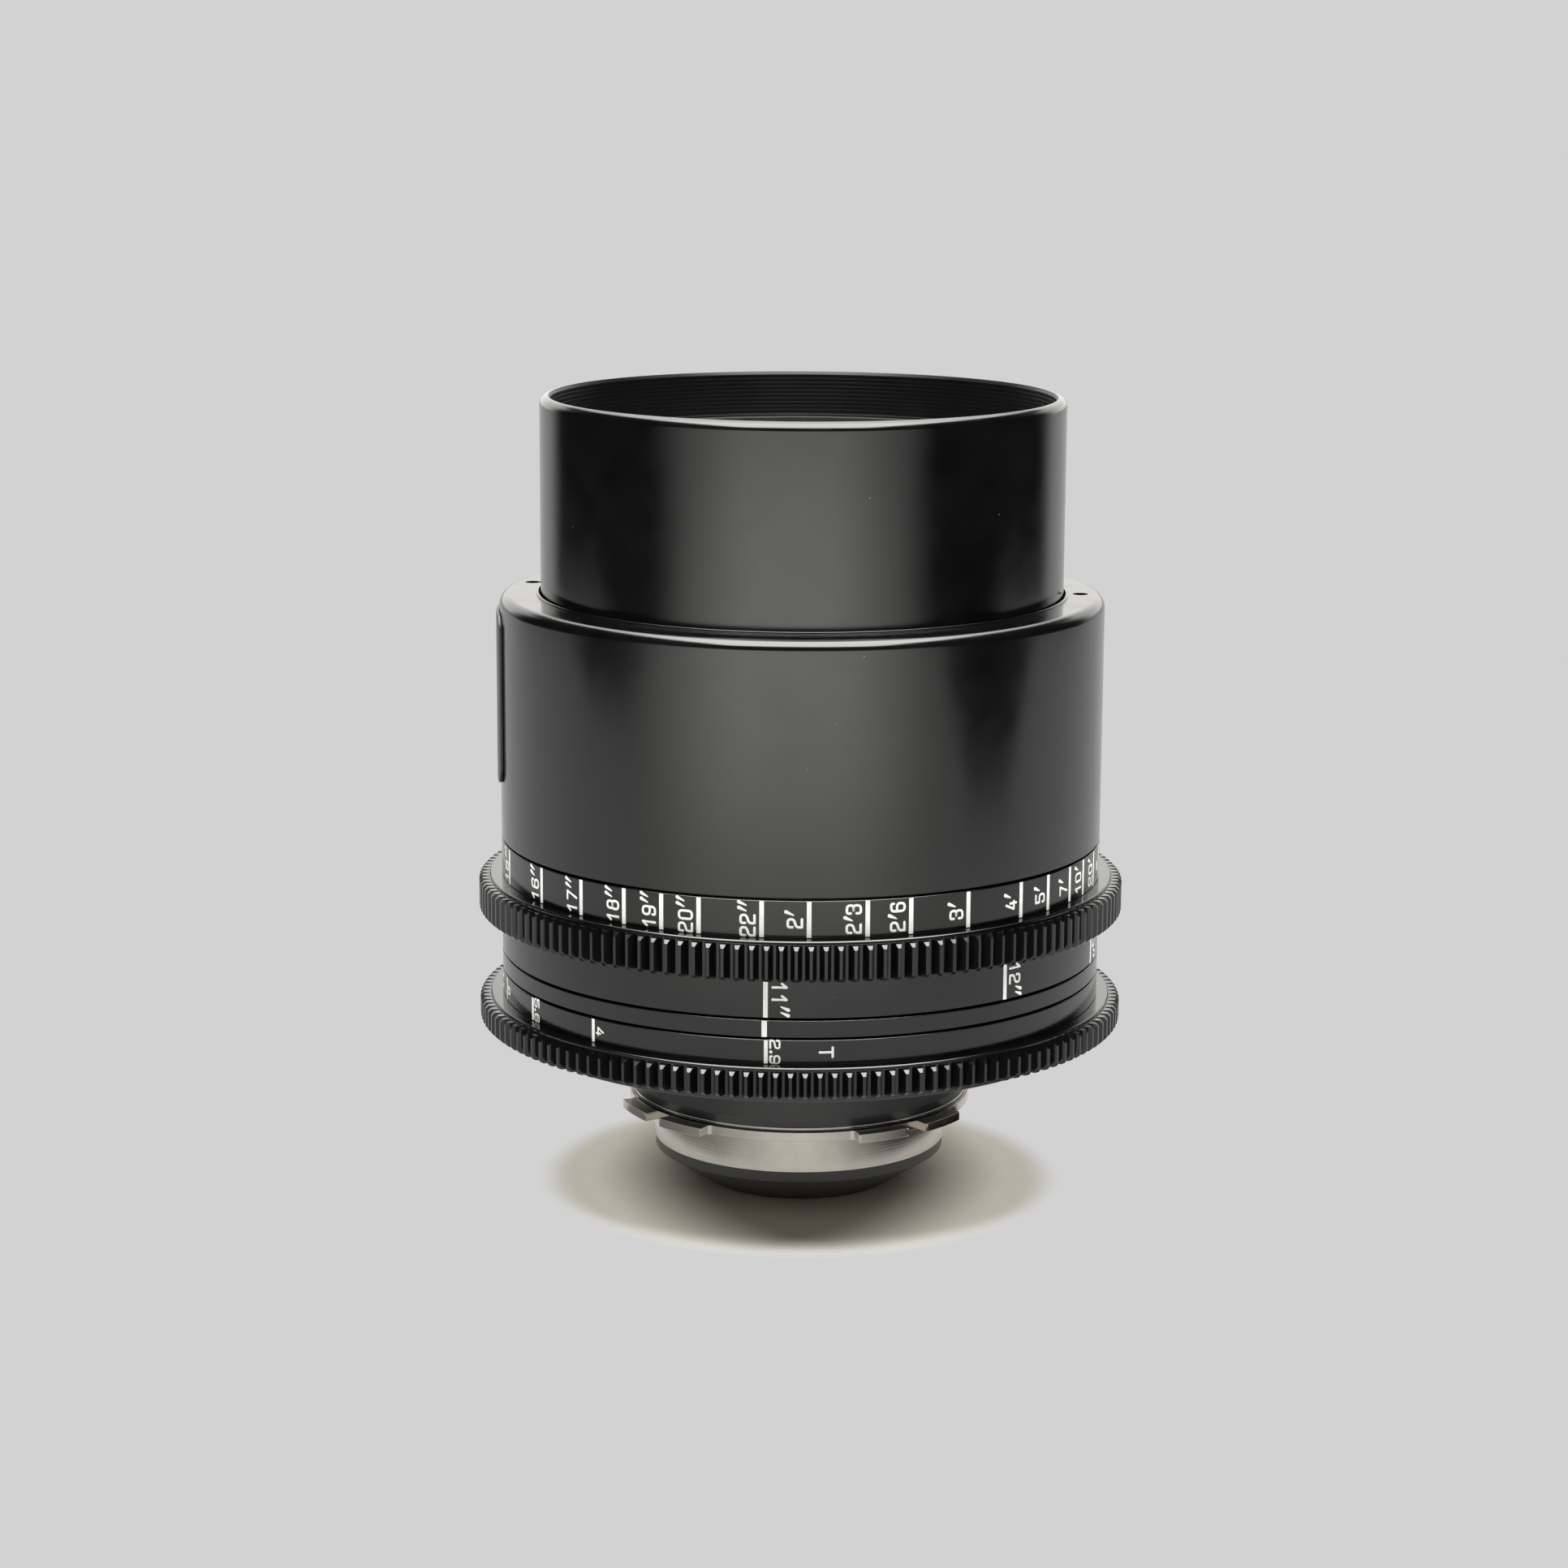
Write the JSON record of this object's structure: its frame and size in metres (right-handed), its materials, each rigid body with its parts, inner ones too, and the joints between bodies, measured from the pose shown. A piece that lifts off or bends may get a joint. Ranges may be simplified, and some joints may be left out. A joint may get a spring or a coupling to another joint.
{
  "type": "cinema prime lens",
  "caption": "Cinema prime lens with toothed focus and iris rings, a front barrel that slides out on a cam sleeve, a bladed iris and a rear mount with notched lugs.",
  "frame": {"origin": "centre of the mount's flange seat, where the spigot meets the flange", "axes": "+Z along the optical axis to the front of the lens, -Y through the index line"},
  "size_m": [0.1184, 0.1184, 0.1452],
  "materials": {
    "black_anodised": "satin black anodised",
    "matt_black": "matt black anodised",
    "plate_black": "satin black paint",
    "nickel": "satin nickel plate",
    "steel": "fine turned steel",
    "brass": "fine turned brass",
    "glass": "polished and coated",
    "blade": "matt blackened steel"
  },
  "bodies": {
    "housing": {"lens_mount": "nickel", "mount_shim": "steel", "mount_screws": "steel", "rear_baffle": "matt_black", "rear_adapter": "black_anodised", "plate_screws": "steel", "core_barrel": "black_anodised", "guide_sleeve": "brass", "outer_body": "black_anodised", "side_plate": "plate_black"},
    "focus_group": {"focus_ring": "black_anodised", "focus_gear": "black_anodised", "focus_scale_ring": "black_anodised", "cam_sleeve": "steel", "drive_keys": "steel"},
    "iris_group": {"iris_ring": "black_anodised", "iris_gear": "black_anodised", "iris_drive_bar": "steel"},
    "front_group": {"front_barrel": "black_anodised", "front_baffle": "matt_black", "cam_rollers": "steel", "carrier_plate": "black_anodised", "carrier_screws": "steel", "cell_nut": "black_anodised", "front_cell": "black_anodised", "front_retainer": "black_anodised", "front_element": "glass", "front_spacer": "black_anodised", "second_element": "glass", "third_element": "glass", "iris_housing": "black_anodised", "cell_screws": "steel", "rear_cell": "black_anodised", "fourth_element": "glass", "fifth_element": "glass", "rear_spacer": "black_anodised", "rear_element": "glass", "rear_retainer": "black_anodised"},
    "iris_drive": {"iris_drive_ring": "steel"},
    "iris_blade_1": {"iris_blade_1": "blade"},
    "iris_blade_2": {"iris_blade_2": "blade"},
    "iris_blade_3": {"iris_blade_3": "blade"},
    "iris_blade_4": {"iris_blade_4": "blade"},
    "iris_blade_5": {"iris_blade_5": "blade"},
    "iris_blade_6": {"iris_blade_6": "blade"},
    "iris_blade_7": {"iris_blade_7": "blade"},
    "iris_blade_8": {"iris_blade_8": "blade"}
  },
  "joints": [
    {"name": "focus_turn", "type": "hinge", "parent": "housing", "child": "focus_group", "pos_m": [0, 0, 0], "axis": [0, 0, 1], "range_deg": [-267, 3.5]},
    {"name": "front_slide", "type": "slide", "parent": "housing", "child": "front_group", "axis": [0, 0, 1], "range_m": [-0.0273, 0.0004]},
    {"name": "iris_turn", "type": "hinge", "parent": "housing", "child": "iris_group", "pos_m": [0, 0, 0], "axis": [0, 0, 1], "range_deg": [0, 88]},
    {"name": "iris_drive_turn", "type": "hinge", "parent": "front_group", "child": "iris_drive", "pos_m": [0, 0, 0.048], "axis": [0, 0, 1], "range_deg": [0, 88.05]},
    {"name": "blade_1_swing", "type": "hinge", "parent": "front_group", "child": "iris_blade_1", "pos_m": [0, -0.0205, 0.0445], "axis": [0, 0, 1], "range_deg": [0, 27.05]},
    {"name": "blade_2_swing", "type": "hinge", "parent": "front_group", "child": "iris_blade_2", "pos_m": [0.0145, -0.0145, 0.0445], "axis": [0, 0, 1], "range_deg": [0, 27.05]},
    {"name": "blade_3_swing", "type": "hinge", "parent": "front_group", "child": "iris_blade_3", "pos_m": [0.0205, 0, 0.0445], "axis": [0, 0, 1], "range_deg": [0, 27.05]},
    {"name": "blade_4_swing", "type": "hinge", "parent": "front_group", "child": "iris_blade_4", "pos_m": [0.0145, 0.0145, 0.0445], "axis": [0, 0, 1], "range_deg": [0, 27.05]},
    {"name": "blade_5_swing", "type": "hinge", "parent": "front_group", "child": "iris_blade_5", "pos_m": [0, 0.0205, 0.0445], "axis": [0, 0, 1], "range_deg": [0, 27.05]},
    {"name": "blade_6_swing", "type": "hinge", "parent": "front_group", "child": "iris_blade_6", "pos_m": [-0.0145, 0.0145, 0.0445], "axis": [0, 0, 1], "range_deg": [0, 27.05]},
    {"name": "blade_7_swing", "type": "hinge", "parent": "front_group", "child": "iris_blade_7", "pos_m": [-0.0205, 0, 0.0445], "axis": [0, 0, 1], "range_deg": [0, 27.05]},
    {"name": "blade_8_swing", "type": "hinge", "parent": "front_group", "child": "iris_blade_8", "pos_m": [-0.0145, -0.0145, 0.0445], "axis": [0, 0, 1], "range_deg": [0, 27.05]}
  ],
  "couplings": [
    {"joint": "front_slide", "follows": "focus_turn", "m_per_rad": 0.0058569},
    {"joint": "iris_drive_turn", "follows": "iris_turn", "ratio": 1},
    {"joint": "blade_1_swing", "follows": "iris_turn", "ratio": 0.30682},
    {"joint": "blade_2_swing", "follows": "iris_turn", "ratio": 0.30682},
    {"joint": "blade_3_swing", "follows": "iris_turn", "ratio": 0.30682},
    {"joint": "blade_4_swing", "follows": "iris_turn", "ratio": 0.30682},
    {"joint": "blade_5_swing", "follows": "iris_turn", "ratio": 0.30682},
    {"joint": "blade_6_swing", "follows": "iris_turn", "ratio": 0.30682},
    {"joint": "blade_7_swing", "follows": "iris_turn", "ratio": 0.30682},
    {"joint": "blade_8_swing", "follows": "iris_turn", "ratio": 0.30682}
  ]
}
